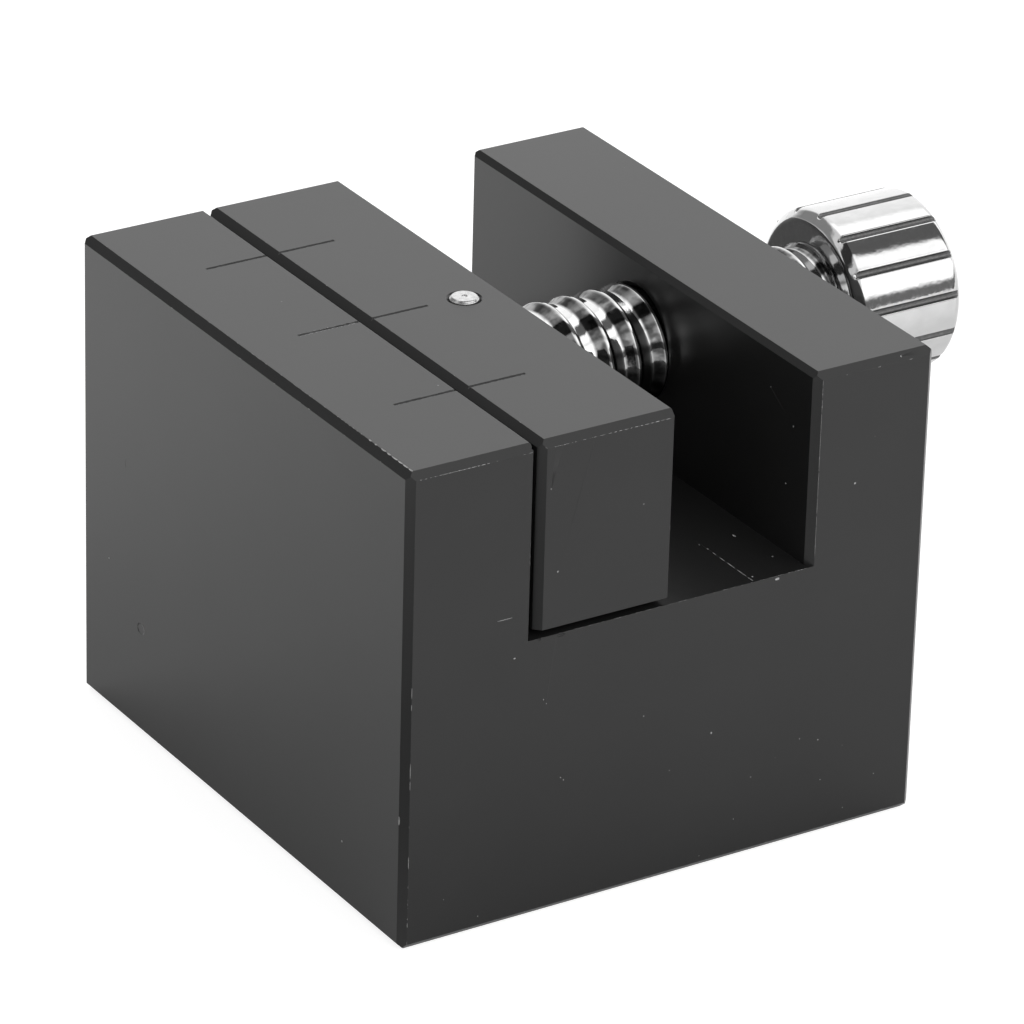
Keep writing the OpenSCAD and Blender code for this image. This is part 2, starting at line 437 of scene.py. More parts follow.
def groove(y, left, right, wear, seed):
    """Cutter for one engraved line. Where wear is high the line is shallow and uneven."""
    rng = random.Random(seed)
    stations = 90
    floor = 0.55    # width of the line's floor, as a share of its width at the top
    bm = bmesh.new()
    rings = []
    for i in range(stations + 1):
        share = i / stations
        fade = wear(share) * rng.random()
        half = LINE_WIDTH / 2 * (1 - 0.5 * fade + 0.12 * rng.uniform(-1, 1))
        deep = LINE_DEPTH * (1 - 0.8 * fade)
        x = left + (right - left) * share
        shift = 0.012 * rng.uniform(-1, 1)
        rings.append([bm.verts.new((x, y + shift + side * half * wide, TOP + height))
                      for side, wide, height in ((-1, 1.0, 0), (-1, floor, -deep),
                                                 (1, floor, -deep), (1, 1.0, 0),
                                                 (1, 1.0, OVER), (-1, 1.0, OVER))])
    corners = len(rings[0])
    for ring, following in zip(rings, rings[1:]):
        for i in range(corners):
            k = (i + 1) % corners
            bm.faces.new((ring[i], ring[k], following[k], following[i]))
    bm.faces.new(rings[0])
    bm.faces.new(rings[-1])
    return mesh_from(bm, "groove")


def line_cutters():
    """Cutters for the three lines that run across both jaws, each with its own wear."""
    wears = (lambda share: 0.5 if share < 0.5 else 0.1,
             lambda share: 1.0 if share < 0.47 else 0.15,
             lambda share: 0.2)
    return [groove(row * LINE_SPACING + LINE_SHIFT, LINE_MIDDLE - LINE_LENGTH / 2,
                   LINE_MIDDLE + LINE_LENGTH / 2, wear, seed=40 + row)
            for row, wear in zip((-1, 0, 1), wears)]


def edge_nicks(start, end, inward, count, size, seed):
    """Small bare chips spread along an edge. inward points from the edge into the metal."""
    rng = random.Random(seed)
    start, end, inward = Vector(start), Vector(end), Vector(inward).normalized()
    along = (end - start).normalized()
    room = (end - start).length / count
    turn = along.to_track_quat("X", "Z").to_matrix()
    chips = []
    for i in range(count):
        long = min(size * rng.uniform(0.6, 2.6), room * 0.45)
        place = start + along * room * (i + 0.5 + rng.uniform(-0.04, 0.04))
        deep = size * rng.uniform(0.12, 0.3)
        chips.append(scoop(place - inward * deep * 0.3, (long, deep, deep), BARE, turn))
    return chips


def row_of_chips(rows, seed):
    """Chips along several edges. A row is (start, end, inward, count, size)."""
    chips = []
    for number, row in enumerate(rows):
        chips += edge_nicks(*row, seed + number)
    return chips


def specks(places, size, seed):
    """Small bare marks on flat faces."""
    rng = random.Random(seed)
    return [scoop(place, [size * rng.uniform(0.7, 1.3) for _ in range(3)], BARE)
            for place in places]


def block_marks():
    """Cutters for the chips, dents, specks and scratches that handling has left on the block,
    and for the scuffed line on the slot's floor."""
    left, right, bevel = block_low.x, block_high.x, EDGE_BEVEL
    low_top = TOP - bevel
    chips = row_of_chips([
        ((left + 0.6, FRONT, low_top), (-12.3, FRONT, low_top), (0, 1, -0.5), 15, 0.07),
        ((left + bevel, -13.4, TOP), (left + bevel, -9.6, TOP), (0.5, 0, -1), 9, 0.06),
        ((left + bevel, -9.6, TOP), (left + bevel, 17.8, TOP), (0.5, 0, -1), 17, 0.055),
        ((left, -17.6, low_top), (left, 17.6, low_top), (1, 0, -0.5), 9, 0.05),
        ((NUT_FACE - NUT_BEVEL, -17, TOP), (NUT_FACE - NUT_BEVEL, 17, TOP), (1, 0, -1), 12, 0.04),
        ((7.9, FRONT, FLOOR), (NUT_FACE - 0.1, FRONT, FLOOR), (0, 1, -1), 6, 0.07),
        ((2.6, FRONT, FLOOR), (7.0, FRONT, FLOOR), (0, 1, -1), 7, 0.04),
        ((left + bevel, FRONT, 1), (left + bevel, FRONT, 28.6), (0.5, 1, 0), 13, 0.045),
        ((left, FRONT + bevel, 2), (left, FRONT + bevel, 28), (1, 0.5, 0), 6, 0.045),
        ((FIXED_FACE, FRONT, 19), (FIXED_FACE, FRONT, 28.5), (-1, 1, 0), 6, 0.05),
        ((NUT_FACE + bevel, FRONT, 18.6), (NUT_FACE + bevel, FRONT, 29), (0.5, 1, 0), 13, 0.045),
        ((10.2, FRONT, low_top), (16.9, FRONT, low_top), (0, 1, -0.5), 3, 0.045),
        ((left + 1, FRONT, bevel), (right - 1, FRONT, bevel), (0, 1, 0.5), 16, 0.05),
        ((left, -17, bevel), (left, 17, bevel), (1, 0, 0.5), 12, 0.05),
        ((right, FRONT + bevel, 2), (right, FRONT + bevel, 28), (-1, 0.5, 0), 8, 0.05),
        ((-16.5, BACK, low_top), (-10, BACK, low_top), (0, -1, -0.5), 6, 0.06),
        ((right, -17, low_top), (right, 17, low_top), (-1, 0, -0.5), 11, 0.055),
    ], seed=200)
    dust = [(5.5, -13.1, FLOOR), (5.9, -18.0, FLOOR), (8.35, -16.4, FLOOR),
            (NUT_FACE, -16.0, 22.0), (NUT_FACE, -16.5, 25.8), (NUT_FACE, -14.1, 27.3),
            (-10.4, FRONT, 16.9), (15.2, -18.4, 29.65), (left, 15.3, 10.1),
            (left, -12.05, 4.06), (3.1, FRONT, 8.7), (12.3, FRONT, 22.4)]
    chips += specks(dust, 0.06, seed=31)
    fine_dust = [(x, FRONT, z) for x, z in (
        (-8.4, 13.8), (-8.2, 13.5), (-7.1, 8.5), (-6.9, 8.3), (-1.6, 11.0), (0.3, 7.0),
        (9.3, 6.7), (10.6, 6.3), (10.9, 3.6), (14.7, 3.0), (12.6, 1.3), (4.9, 2.6),
        (2.6, 0.8), (-12.4, 1.0), (-14.7, 2.7))]
    chips += specks(fine_dust, 0.032, seed=33)
    chips += [scoop((left + bevel, FRONT, z), (0.016, 0.016, long), BARE)
              for z, long in ((16.4, 0.35), (15.5, 0.2), (11.5, 0.5), (10.6, 0.3),
                              (5.7, 0.4), (1.7, 0.15))]
    chips += [scoop((7.2, FRONT, 17.55), (0.16, 0.04, 0.08), BARE),
              scoop((-7.4, FRONT, 17.6), (0.32, 0.1, 0.1), FACE),
              scoop((-8.8, FRONT, 17.68), (0.12, 0.08, 0.1), FACE),
              scoop((FIXED_FACE - 0.02, -18.3, 29.5), (0.11, 0.2, 0.16), BARE),
              scoop((left, 11.4, 7.1), (0.012, 0.45, 0.4), FACE),
              scoop((left, 13.2, 17.2), (0.012, 0.05, 0.3), FACE),
              scoop((-11.1, FRONT, 19.5), (0.55, 0.006, 0.014), BARE),
              scoop((left + 0.02, -18.17, 8.3), (0.06, 0.05, 0.3), BARE)]
    chips += [scoop((left + bevel + 0.02, y, TOP), (0.055, long, 0.04), BARE)
              for y, long in ((-18.0, 0.2), (-17.45, 0.3), (-16.9, 0.22), (-16.3, 0.3),
                              (-15.7, 0.2), (-15.1, 0.25), (-14.3, 0.12), (-13.7, 0.15))]
    seam = diamond((5.6, -15.3, FLOOR), 1, 0.02, 6.0)
    dashes = [scoop((5.62, y, FLOOR), (0.028, long, 0.02), BARE)
              for y, long in ((-18.2, 0.3), (-17.3, 0.5), (-16.2, 0.45), (-15.3, 0.3),
                              (-14.5, 0.2), (-13.8, 0.12))]
    dashes.append(scoop((7.9, -13.1, FLOOR), (0.07, 0.18, 0.06), BARE))
    return [seam, joined(chips), joined(dashes)]


def jaw_marks():
    """Cutter for the chips and specks on the sliding jaw."""
    low_top = TOP - JAW_BEVEL
    left, right = jaw_low.x, jaw_high.x
    chips = row_of_chips([
        ((-4.7, FRONT, low_top), (right - 0.3, FRONT, low_top), (0, 1, -0.5), 12, 0.07),
        ((left + 0.6, FRONT, low_top), (-5.2, FRONT, low_top), (0, 1, -0.5), 5, 0.05),
        ((left + JAW_BEVEL, -17.5, TOP), (left + JAW_BEVEL, 17.5, TOP), (0.5, 0, -1), 10, 0.045),
        ((left + JAW_BEVEL, FRONT, 18.8), (left + JAW_BEVEL, FRONT, 29), (0.5, 1, 0), 6, 0.04),
        ((right, -17.5, TOP), (right, 17.5, TOP), (-1, 0, -1), 9, 0.04),
        ((right, FRONT, 19), (right, FRONT, 29), (-1, 1, 0), 5, 0.04),
    ], seed=300)
    dust = [(-8.3, FRONT, 26.9), (-7.7, FRONT, 21.65)]
    return joined(chips + specks(dust, 0.05, seed=32))


def line_burrs():
    """Cutter for the bright chips along both sides of the worn half of the middle line."""
    start, end = LINE_MIDDLE - LINE_LENGTH / 2, FIXED_FACE - 0.4
    near, far = LINE_SHIFT - 0.13, LINE_SHIFT + 0.13
    return joined(row_of_chips([
        ((start, near, TOP), (end, near, TOP), (0, 0, -1), 14, 0.05),
        ((start, far, TOP), (end, far, TOP), (0, 0, -1), 8, 0.04),
    ], seed=400))


def mark_wear(mesh, default, edges):
    """Stores how worn each narrow edge strip is. An edge is (x, y, z, wear), where a place is
    None for any, a number, or a pair for a range. Strips that no edge names have the default."""
    near = 0.12

    def matches(value, wanted):
        if wanted is None:
            return True
        if isinstance(wanted, tuple):
            return wanted[0] <= value <= wanted[1]
        return abs(value - wanted) < near

    wear = mesh.attributes.new("wear", "FLOAT", "FACE")
    values = [default] * len(mesh.polygons)
    for number, face in enumerate(mesh.polygons):
        if face.material_index == EDGE:
            for *place, amount in edges:
                if all(matches(value, wanted) for value, wanted in zip(face.center, place)):
                    values[number] = amount
    wear.data.foreach_set("value", values)


def paint_flank_shade(mesh, start, end):
    """Stores how much painted shade each point of the thread gets: 0 on crests and roots, 1 on
    the flanks. It darkens the flanks in place of the dark reflections they show.

    A flank is told by its phase, the place between one crest and the next as a share of the
    pitch: the short one lies just after a crest and the long one before the next."""
    short_phase, short_half = 0.12, 0.12
    long_phase, long_half = 0.76, 0.24
    steepness = 2.5
    skin = ROOT - 0.05
    flank_shade = mesh.attributes.new("flank_shade", "FLOAT", "POINT")
    values = []
    for vertex in mesh.vertices:
        x, y, z = vertex.co
        angle = math.atan2(z - AXIS_Z, -y)
        phase = ((x - CREST_PLACE) / PITCH - 0.25 + angle / (2 * math.pi)) % 1
        inside = start < x < end and math.hypot(y, z - AXIS_Z) > skin
        flanks = max(1 - abs(phase - long_phase) / long_half,
                     1 - abs(phase - short_phase) / short_half)
        values.append(min(1.0, steepness * flanks) if inside and flanks > 0 else 0.0)
    flank_shade.data.foreach_set("value", values)


# ---------------------------------------------------------------- pieces


def block_mesh():
    """U block with its slot, the nut's thread, the lines and the marks."""
    mesh = bevelled_box(block_low, block_high, EDGE_BEVEL)
    width = BACK - FRONT + 2 * OVER
    height = TOP - FLOOR + OVER
    mesh = cut(mesh, [plain_box((FIXED_FACE, FRONT - OVER, FLOOR),
                                (NUT_FACE, BACK + OVER, TOP + OVER))])
    bevels = [diamond((FIXED_FACE, 0, TOP), 1, SLOT_BEVEL, width),
              diamond((NUT_FACE, 0, TOP), 1, NUT_BEVEL, width)]
    for y in (FRONT, BACK):
        bevels.append(diamond((NUT_FACE, y, FLOOR + height / 2), 2, EDGE_BEVEL, height))
        bevels.append(diamond((FIXED_FACE, y, FLOOR + height / 2), 2, SLOT_BEVEL, height))
    mesh = cut(mesh, bevels)
    right = block_high.x
    minor = ROOT + NUT_CLEARANCE
    wide = CREST + NUT_CLEARANCE + NUT_MOUTH
    reach = wide - minor
    mesh = cut(mesh, [axis_cylinder(NUT_FACE - OVER, right + OVER, minor, minor),
                      axis_cylinder(NUT_FACE - OVER, NUT_FACE + reach, wide + OVER, minor),
                      axis_cylinder(right - reach, right + OVER, minor, wide + OVER)])
    mesh = soften(mesh)
    marks = block_marks() + [line_burrs()]
    mesh = cut(mesh, [helix(NUT_FACE, right, NUT_CLEARANCE)] + line_cutters())
    return merged(cut(mesh, marks))


def jaw_mesh():
    """Sliding jaw with its blind bore, the pin's hole, the lines and the marks.

    Its bottom and right edges have no wide bevel, so the blank is larger there and is trimmed."""
    blank = bevelled_box((jaw_low.x, jaw_low.y, jaw_low.z - JAW_BEVEL),
                         (jaw_high.x + JAW_BEVEL, jaw_high.y, TOP), JAW_BEVEL)
    keep = plain_box((jaw_low.x - OVER, jaw_low.y - OVER, jaw_low.z),
                     (jaw_high.x, jaw_high.y + OVER, TOP + OVER))
    mesh = combine(blank, [keep], "INTERSECT")
    width = BACK - FRONT + 2 * OVER
    height = TOP - jaw_low.z + 2 * OVER
    bevels = [diamond((jaw_high.x, 0, TOP), 1, SLOT_BEVEL, width)]
    bevels += [diamond((jaw_high.x, y, TOP - height / 2 + OVER), 2, SLOT_BEVEL, height)
               for y in (FRONT, BACK)]
    mesh = cut(mesh, bevels)
    bore = NOSE + BORE_CLEARANCE
    bore_end = screw_low.x - BORE_SPARE
    deep = TOP - AXIS_Z
    hole = upright(turned([(0, 0), (0, PIN_RADIUS), (deep - PIN_MOUTH, PIN_RADIUS),
                           (deep, PIN_RADIUS + PIN_MOUTH),
                           (deep + OVER, PIN_RADIUS + PIN_MOUTH),
                           (deep + OVER, 0)]), PIN_X, 0, AXIS_Z)
    mesh = cut(mesh, [axis_cylinder(bore_end, jaw_high.x + OVER, bore, bore), hole])
    mesh = soften(mesh)
    return merged(cut(mesh, line_cutters() + [jaw_marks()]))


def screw_mesh():
    """Screw with its thread, its grooved nose and its plain tail."""
    start, end = jaw_high.x + THREAD_GAP, knob_low.x
    spare = 0.5
    keep = turned([(start, 0), (start, CREST - THREAD_BEVEL),
                   (start + THREAD_BEVEL + spare, CREST + spare),
                   (end - THREAD_BEVEL - spare, CREST + spare),
                   (end, CREST - THREAD_BEVEL), (end, 0)])
    mesh = combine(helix(start, end), [keep], "INTERSECT")
    groove_half = PIN_RADIUS + GROOVE_CLEARANCE
    nose = [(screw_low.x, 0), (screw_low.x, NOSE - NOSE_BEVEL),
            (screw_low.x + NOSE_BEVEL, NOSE), (PIN_X - groove_half, NOSE),
            (PIN_X - groove_half, GROOVE), (PIN_X + groove_half, GROOVE),
            (PIN_X + groove_half, NOSE), (start + OVER, NOSE), (start + OVER, 0)]
    tail = [(end - OVER, 0), (end - OVER, TAIL), (screw_high.x - THREAD_BEVEL, TAIL),
            (screw_high.x, TAIL - THREAD_BEVEL), (screw_high.x, 0)]
    ends = [turned(rounded(outline, SHOULDER_ROUND)) for outline in (nose, tail)]
    mesh = combine(mesh, ends, "UNION")
    # Painted shade on the thread's flanks, stored for the chrome.
    paint_flank_shade(mesh, start, end)
    return mesh


def knob_mesh():
    """Knob with its bore, flutes and dished outer face."""
    start, end = knob_low.x, knob_high.x
    hole_end = screw_high.x + TAIL_GAP
    outline = [(hole_end, 0), (hole_end, TAIL), (start, TAIL),
               (start, KNOB - KNOB_BEVEL), (start + KNOB_BEVEL, KNOB),
               (end - KNOB_BEVEL, KNOB), (end, KNOB - KNOB_BEVEL), (end, DISH),
               (end - DISH_DEPTH, DISH - DISH_DEPTH), (end - DISH_DEPTH, 0)]
    outline = subdivided(rounded(outline, KNOB_ROUND, 6), short=0.12, long=1.2)
    period = 2 * math.pi / FLUTES
    blend = 0.05
    flare = 3       # how steeply the flute's sides leave the knob

    def fluted(angle, radius):
        """The smaller of the plain radius and the flute's, with a small round between."""
        offset = (angle - FLUTE_TURN + period / 2) % period - period / 2
        across = max(0, FLUTE ** 2 - (KNOB * math.sin(offset)) ** 2)
        flute = KNOB * math.cos(offset) - math.sqrt(across)
        flute += max(0, KNOB * abs(math.sin(offset)) - FLUTE) * flare
        mixed = max(blend - abs(radius - flute), 0) / blend
        return min(radius, flute) - mixed * mixed * blend / 4

    mouth = math.asin(FLUTE / KNOB)
    steps = [-1, -0.98, -0.93, -0.86, -0.76, -0.62, -0.46, -0.3, -0.15, 0]
    steps += [-s for s in reversed(steps[:-1])]
    offsets = [step * mouth for step in steps]
    lands = [mouth + (period - 2 * mouth) * share
             for share in (0.015, 0.04, 0.08, 0.15, 0.25, 0.37, 0.5,
                           0.63, 0.75, 0.85, 0.92, 0.96, 0.985)]
    angles = [FLUTE_TURN + k * period + offset
              for k in range(FLUTES) for offset in offsets + lands]
    mesh = turned(outline, fluted, angles)
    # Faces in the flutes take the second slot, whose dark grey paints shade into them.
    steep = 0.1     # a flute's faces have less of their normal than this along X, squared
    for face in mesh.polygons:
        radius = math.hypot(face.center.y, face.center.z - AXIS_Z)
        if face.normal.x ** 2 < steep and DISH < radius < KNOB - 0.02:
            face.material_index = EDGE
    return mesh


def pin_mesh():
    """Pin with a lathe's centre mark in its top."""
    height = pin_high.z - pin_low.z
    outline = [(0, 0), (0, PIN_RADIUS - PIN_BEVEL), (PIN_BEVEL, PIN_RADIUS),
               (height - PIN_BEVEL, PIN_RADIUS), (height, PIN_RADIUS - PIN_BEVEL),
               (height, PIN_MARK), (height - PIN_MARK, 0)]
    return upright(turned(rounded(outline, 0.03)), PIN_X, 0, pin_low.z)


# ---------------------------------------------------------------- materials


def add_node(tree, kind, inputs=(), **settings):
    """Adds a shader node. An input is a number, a colour or another node's output."""
    made = tree.nodes.new(kind)
    for name, value in settings.items():
        setattr(made, name, value)
    for key, value in dict(inputs).items():
        if isinstance(value, bpy.types.NodeSocket):
            tree.links.new(value, made.inputs[key])
        else:
            made.inputs[key].default_value = value
    return made


def maths(tree, operation, *values):
    """Result of a Math node."""
    return add_node(tree, "ShaderNodeMath", enumerate(values), operation=operation).outputs[0]


def ranged(tree, value, low, high, to_low=0.0, to_high=1.0):
    """Smooth step of a value from one range to another."""
    made = add_node(tree, "ShaderNodeMapRange",
                    {0: value, 1: low, 2: high, 3: to_low, 4: to_high},
                    interpolation_type="SMOOTHSTEP")
    return made.outputs[0]


def grey_colour(grey):
    return (grey, grey, grey, 1)


def ramp(tree, value, stops):
    """Grey colour ramp through (place, grey) stops."""
    made = add_node(tree, "ShaderNodeValToRGB", {"Fac": value})
    elements = made.color_ramp.elements
    while len(elements) < len(stops):
        elements.new(0.5)
    for element, (place, grey) in zip(elements, stops):
        element.position = place
        element.color = grey_colour(grey)
    return made.outputs["Color"]


def mixed_colour(tree, share, colour, grey):
    """A colour that turns to a grey as the share goes from 0 to 1."""
    return add_node(tree, "ShaderNodeMix", {0: share, 6: colour, 7: grey_colour(grey)},
                    data_type="RGBA").outputs[2]


def mixed_value(tree, share, first, second):
    """A value that turns to another as the share goes from 0 to 1."""
    return add_node(tree, "ShaderNodeMix", {0: share, 2: first, 3: second}).outputs[0]


def bumped(tree, height, strength, distance, below=None):
    """Normal of a surface with relief. distance is the relief's depth in millimetres, and
    below is the normal of a coarser relief that this one lies on."""
    inputs = {"Height": height, "Strength": strength, "Distance": distance * MM}
    if below is not None:
        inputs["Normal"] = below
    return add_node(tree, "ShaderNodeBump", inputs).outputs[0]


def in_mm(tree, stretch=(1, 1, 1)):
    """Position on the object in millimetres, times stretch."""
    place = add_node(tree, "ShaderNodeTexCoord").outputs["Object"]
    scale = [s / MM for s in stretch]
    return add_node(tree, "ShaderNodeMapping", {"Vector": place, "Scale": scale}).outputs[0]


def noise(tree, place, scale, detail=2.0, roughness=0.5):
    """Noise between 0 and 1. scale is in waves per unit of place."""
    made = add_node(tree, "ShaderNodeTexNoise", {"Vector": place, "Scale": scale,
                                                 "Detail": detail, "Roughness": roughness})
    return made.outputs["Fac"]


def new_material(name):
    """A material, its node tree and its shader."""
    material = bpy.data.materials.new(name)
    material.use_nodes = True
    tree = material.node_tree
    return material, tree, tree.nodes["Principled BSDF"]


def speckle(tree, place, scale, rarity, size):
    """1 inside sparse round specks, 0 elsewhere. A higher rarity leaves fewer of them."""
    cells = add_node(tree, "ShaderNodeTexVoronoi", {"Vector": place, "Scale": scale})
    chosen = add_node(tree, "ShaderNodeSeparateColor", {"Color": cells.outputs["Color"]})
    rare = maths(tree, "GREATER_THAN", chosen.outputs[0], rarity)
    near = ranged(tree, cells.outputs["Distance"], size, size * 0.6)
    return maths(tree, "MULTIPLY", rare, near)


def anodised(name, worn):
    """Black anodised aluminium. On the worn strips bare metal shows through in broken lines."""
    dust_grey, metal_grey, metal_roughness = 0.16, 0.4, 0.4
    material, tree, shader = new_material(name)
    place = in_mm(tree)
    streaks = noise(tree, in_mm(tree, (0.12, 3.0, 3.0)), 1.4, 3.0)
    blotches = noise(tree, place, 0.16, 3.0)
    grain = noise(tree, place, 7.0, 2.0, 0.6)
    specks_mask = maths(tree, "MAXIMUM", speckle(tree, place, 0.5, 0.93, 0.035),
                        speckle(tree, place, 1.7, 0.985, 0.05))
    black = ramp(tree, blotches, [(0.3, 0.0135), (0.7, 0.0155)])
    dusty = mixed_colour(tree, specks_mask, black, dust_grey)
    satin = maths(tree, "MULTIPLY_ADD", streaks, 0.02, 0.265)
    satin = maths(tree, "MULTIPLY_ADD", grain, 0.02, satin)
    colour, roughness = dusty, satin
    if worn:
        wear = add_node(tree, "ShaderNodeAttribute", attribute_name="wear").outputs["Fac"]
        fine = noise(tree, place, 2.6, 3.0, 0.7)
        coarse = noise(tree, place, 0.35, 2.0)
        level = maths(tree, "ADD", fine, maths(tree, "MULTIPLY", coarse, 0.6))
        level = maths(tree, "ADD", level, wear)
        mask = ranged(tree, level, 1.1, 1.22)
        colour = mixed_colour(tree, mask, dusty, metal_grey)
        roughness = mixed_value(tree, mask, satin, metal_roughness)
        tree.links.new(mask, shader.inputs["Metallic"])
    tree.links.new(colour, shader.inputs["Base Color"])
    tree.links.new(roughness, shader.inputs["Roughness"])
    shader.inputs["IOR"].default_value = 1.43
    relief = maths(tree, "MULTIPLY_ADD", streaks, 0.02, grain)
    tree.links.new(bumped(tree, relief, 0.15, 0.001), shader.inputs["Normal"])
    return material


def bare_metal(name, grey, low, high):
    """Bare metal with fine grain. low and high are the ends of its roughness."""
    material, tree, shader = new_material(name)
    place = in_mm(tree)
    tone = noise(tree, place, 5.0, 3.0)
    tree.links.new(ramp(tree, tone, [(0.3, grey * 0.7), (0.7, grey)]),
                   shader.inputs["Base Color"])
    rough = ranged(tree, noise(tree, place, 9.0, 2.0), 0.3, 0.7, low, high)
    tree.links.new(rough, shader.inputs["Roughness"])
    shader.inputs["Metallic"].default_value = 0.85
    tree.links.new(bumped(tree, tone, 0.5, 0.01), shader.inputs["Normal"])
    return material


def chrome(name, grey, wave, ripple, flank_shade=False):
    """Plated metal. wave is the slow unevenness under the plating and ripple the fine one, in
    millimetres. A shaded one has painted shade on its colour where the mesh's attribute says
    so, in place of the dark reflections on a thread's flanks."""
    material, tree, shader = new_material(name)
    place = in_mm(tree)
    shader.inputs["Metallic"].default_value = 1.0
    slow = noise(tree, in_mm(tree, (1.0, 1.6, 1.6)), 0.9, 2.0)
    fine = noise(tree, place, 5.0, 3.0)
    colour = ramp(tree, slow, [(0.35, grey * 0.94), (0.65, grey)])
    # Painted shade: the flanks' colour is darkened towards a dark grey, in place of the dark
    # reflections they show.
    if flank_shade:
        flank_shade_grey = 0.07
        share = add_node(tree, "ShaderNodeAttribute", attribute_name="flank_shade").outputs["Fac"]
        share = maths(tree, "MULTIPLY", share, ranged(tree, slow, 0.35, 0.6, 0.7, 1.0))
        colour = mixed_colour(tree, share, colour, flank_shade_grey)
    tree.links.new(colour, shader.inputs["Base Color"])
    tree.links.new(ranged(tree, fine, 0.3, 0.75, 0.05, 0.13), shader.inputs["Roughness"])
    waves = bumped(tree, slow, 1.0, wave)
    tree.links.new(bumped(tree, fine, 1.0, ripple, waves), shader.inputs["Normal"])
    return material


def turned_steel(name, centre):
    """Bright steel with the rings that a lathe tool leaves round an upright axis.

    centre is the axis's X in millimetres. Its Y is 0."""
    ring_density = 75.0     # radians per millimetre of the wave that draws the rings
    material, tree, shader = new_material(name)
    place = in_mm(tree)
    shader.inputs["Metallic"].default_value = 1.0
    moved = add_node(tree, "ShaderNodeVectorMath", {0: place, 1: (-centre, 0, 0)},
                     operation="ADD").outputs[0]
    parts = add_node(tree, "ShaderNodeSeparateXYZ", {0: moved})
    flat = add_node(tree, "ShaderNodeCombineXYZ", {0: parts.outputs[0], 1: parts.outputs[1]})
    radius = add_node(tree, "ShaderNodeVectorMath", {0: flat.outputs[0]},
                      operation="LENGTH").outputs["Value"]
    rings = maths(tree, "SINE", maths(tree, "MULTIPLY", radius, ring_density))
    blotch = noise(tree, place, 3.0, 3.0)
    tree.links.new(ramp(tree, blotch, [(0.3, 0.45), (0.7, 0.66)]), shader.inputs["Base Color"])
    tree.links.new(ranged(tree, blotch, 0.3, 0.7, 0.22, 0.34), shader.inputs["Roughness"])
    relief = maths(tree, "MULTIPLY_ADD", blotch, 2.0, rings)
    tree.links.new(bumped(tree, relief, 0.6, 0.003), shader.inputs["Normal"])
    return material


# ---------------------------------------------------------------- studio


def lobe(tree, direction, inner, outer):
    """1 within the inner angle of a direction, falling to 0 at the outer angle."""
    towards = add_node(tree, "ShaderNodeTexCoord").outputs["Generated"]
    unit = Vector(direction).normalized()
    along = add_node(tree, "ShaderNodeVectorMath", {0: towards, 1: unit},
                     operation="DOT_PRODUCT").outputs["Value"]
    return ranged(tree, along, math.cos(math.radians(outer)), math.cos(math.radians(inner)))


def strip(tree, low, high, soft):
    """1 in a band of the sky between two angles round X. 0 is -Y and 90 is straight up."""
    towards = add_node(tree, "ShaderNodeTexCoord").outputs["Generated"]
    parts = add_node(tree, "ShaderNodeSeparateXYZ", {0: towards})
    back = maths(tree, "MULTIPLY", parts.outputs[1], -1.0)
    angle = maths(tree, "ARCTAN2", parts.outputs[2], back)
    degrees = maths(tree, "MULTIPLY", angle, math.degrees(1))
    rise = ranged(tree, degrees, low - soft, low + soft)
    fall = ranged(tree, degrees, high + soft, high - soft)
    return maths(tree, "MULTIPLY", rise, fall)


def add_studio():
    """Soft boxes parted by dark gaps, round a bright room. The camera sees plain white."""
    world = bpy.data.worlds.new("studio")
    bpy.context.scene.world = world
    world.use_nodes = True
    tree = world.node_tree
    room, darkest = 1.2, 0.04
    level = room
    changes = [
        (strip(tree, 14, 42, 4), 0.75),         # low box in front
        (strip(tree, 50, 65, 4), 0.5),          # high box in front
        (strip(tree, 67, 93, 3), -1.06),        # gap overhead
        (strip(tree, 94, 116, 4), 0.6),         # box behind the gap
        (strip(tree, -14, 13, 3), -1.0),        # dark horizon in front
    ]
    for mask, amount in changes:
        level = maths(tree, "MULTIPLY_ADD", mask, amount, level)
    # Two flags darken the sky at the back left and on the left
    flags = maths(tree, "MAXIMUM", lobe(tree, (-0.44, 0.757, 0.484), 18, 34),
                  lobe(tree, (-0.8, -0.1, 0.6), 36, 56))
    level = maths(tree, "MULTIPLY_ADD", flags, -0.88, level)
    back = lobe(tree, (0.484, 0.85, 0.35), 16, 40)
    level = maths(tree, "MULTIPLY_ADD", back, 0.18, level)
    level = maths(tree, "MAXIMUM", level, darkest)
    seen = add_node(tree, "ShaderNodeLightPath").outputs["Is Camera Ray"]
    background = tree.nodes["Background"]
    tree.links.new(mixed_value(tree, seen, level, 1.0), background.inputs["Strength"])
    background.inputs["Color"].default_value = grey_colour(1)


def add_floor():
    """Plain pale floor. The camera sees one overexposed, which neither lights the object nor
    shows in it. A second one just below, which the camera doesn't see, does both."""
    half, thick, drop = 2000, 2, 0.05
    for name, grey, glow, seen in (("floor", 0.35, 0.85, True), ("floor_bounce", 0.85, 0.14, False)):
        material, tree, shader = new_material(name + "_white")
        shader.inputs["Base Color"].default_value = grey_colour(grey)
        shader.inputs["Roughness"].default_value = 0.9
        shader.inputs["Emission Color"].default_value = grey_colour(1)
        shader.inputs["Emission Strength"].default_value = glow
        if not seen:
            shade_bounce(tree, shader, grey, glow)
        material.cycles.emission_sampling = "NONE"
        top = 0 if seen else -drop
        floor = add_object(name, plain_box((-half, -half, top - thick), (half, half, top)))
        floor.data.transform(Matrix.Scale(MM, 4))
        floor.data.materials.clear()
        floor.data.materials.append(material)
        floor.visible_camera = seen
        floor.visible_diffuse = floor.visible_glossy = floor.visible_shadow = not seen


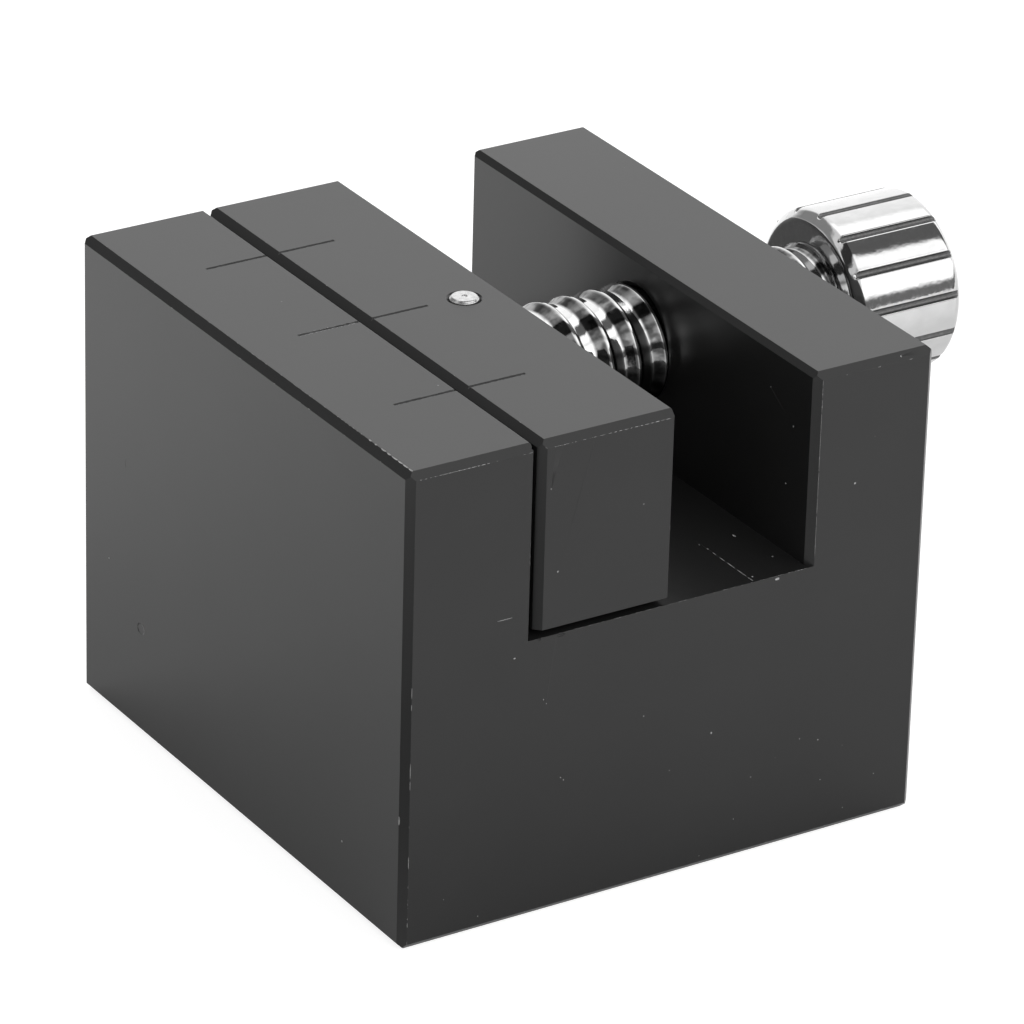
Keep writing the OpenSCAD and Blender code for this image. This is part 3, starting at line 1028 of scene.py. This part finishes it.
def shade_bounce(tree, shader, grey, glow):
    """Paints a shadow on the hidden floor where the front left edge reflects it, and paints
    more glow on it towards the back and the front."""
    dark_place, dark_share = (-44, -38, 0), 0.35
    back_glow, front_glow = 0.4, 0.18
    place = in_mm(tree)
    away = add_node(tree, "ShaderNodeVectorMath", {0: place, 1: dark_place},
                    operation="DISTANCE").outputs["Value"]
    # Painted shadow: a round patch of darker floor with less glow in front of the left corner.
    dark = ranged(tree, away, 14, 34, dark_share, 1.0)
    across = add_node(tree, "ShaderNodeSeparateXYZ", {0: place}).outputs[1]
    far = ranged(tree, across, 10, 75, glow, glow + back_glow)
    far = maths(tree, "ADD", far, ranged(tree, across, -22, -60, 0.0, front_glow))
    tree.links.new(ramp(tree, dark, [(0, 0), (1, grey)]), shader.inputs["Base Color"])
    tree.links.new(maths(tree, "MULTIPLY", far, dark), shader.inputs["Emission Strength"])


def add_camera():
    """Long lens looking down on the front left corner."""
    data = bpy.data.cameras.new("camera")
    data.sensor_width = 36.0
    data.lens = 233.08
    data.clip_start = 0.01
    data.clip_end = 10.0
    camera = add_object("camera", data)
    place = Vector((-187.376, -294.673, 186.372)) * MM
    forward = Vector((0.48395, 0.75679, -0.43939)).normalized()
    level = forward.cross(Vector((0, 0, 1))).normalized()
    above = level.cross(forward)
    view = Matrix((level, above, -forward)).transposed().to_4x4()
    roll = Matrix.Rotation(0.02714, 4, "Z")
    camera.matrix_world = Matrix.Translation(place) @ view @ roll
    bpy.context.scene.camera = camera


# ---------------------------------------------------------------- assembly


add_camera()
add_studio()
add_floor()
bpy.context.scene.view_settings.view_transform = "Standard"

ANODISED = (anodised("black_anodised", False), anodised("black_anodised_worn", True),
            bare_metal("bare_aluminium", 0.5, 0.4, 0.55))
# The knob's flutes take a dark grey metal: painted shade in its hollows.
CHROME = (chrome("chrome_knob", 0.62, 0.009, 0.002), bare_metal("flute_shade", 0.16, 0.35, 0.5))
# The thread's chrome carries painted shade on its flanks, in place of the dark reflections there.
THREAD_CHROME = (chrome("chrome_thread", 0.7, 0.005, 0.0015, flank_shade=True),)
STEEL = (turned_steel("turned_steel", PIN_X),)

LITTLE_WORN = 0.04
LEFT, RIGHT = block_low.x, block_high.x
FIXED_TOP, NUT_TOP = (LEFT, FIXED_FACE), (NUT_FACE, RIGHT)
LOW_TOP = TOP - EDGE_BEVEL

block = block_mesh()
mark_wear(block, LITTLE_WORN, [
    (FIXED_TOP, FRONT, LOW_TOP, 0.36),
    (FIXED_TOP, FRONT + EDGE_BEVEL, TOP, 0.16),
    (LEFT + EDGE_BEVEL, None, TOP, 0.24),
    (LEFT, None, LOW_TOP, 0.16),
    (LEFT + EDGE_BEVEL, FRONT, None, 0.2),
    (LEFT, FRONT + EDGE_BEVEL, None, 0.12),
    (NUT_FACE + EDGE_BEVEL, FRONT, None, 0.42),
    (NUT_TOP, FRONT, LOW_TOP, 0.2),
    (FIXED_FACE, FRONT, None, 0.22),
    (None, FRONT, FLOOR, 0.26),
    (NUT_FACE, (-4, 4), (20, 29), 0.4),
])
finish_piece("block", block, ANODISED, "base_block", "base", planar=True)

jaw = jaw_mesh()
mark_wear(jaw, LITTLE_WORN, [
    (None, FRONT, TOP - JAW_BEVEL, 0.34),
    (jaw_high.x, FRONT, None, 0.16),
])
finish_piece("jaw", jaw, ANODISED, "sliding_jaw", "jaw", planar=True)

finish_piece("pin", pin_mesh(), STEEL, "retaining_pin", "jaw")
finish_piece("screw", screw_mesh(), THREAD_CHROME, "lead_screw", "spindle")
finish_piece("fluted_knob", knob_mesh(), CHROME, "knob", "spindle")
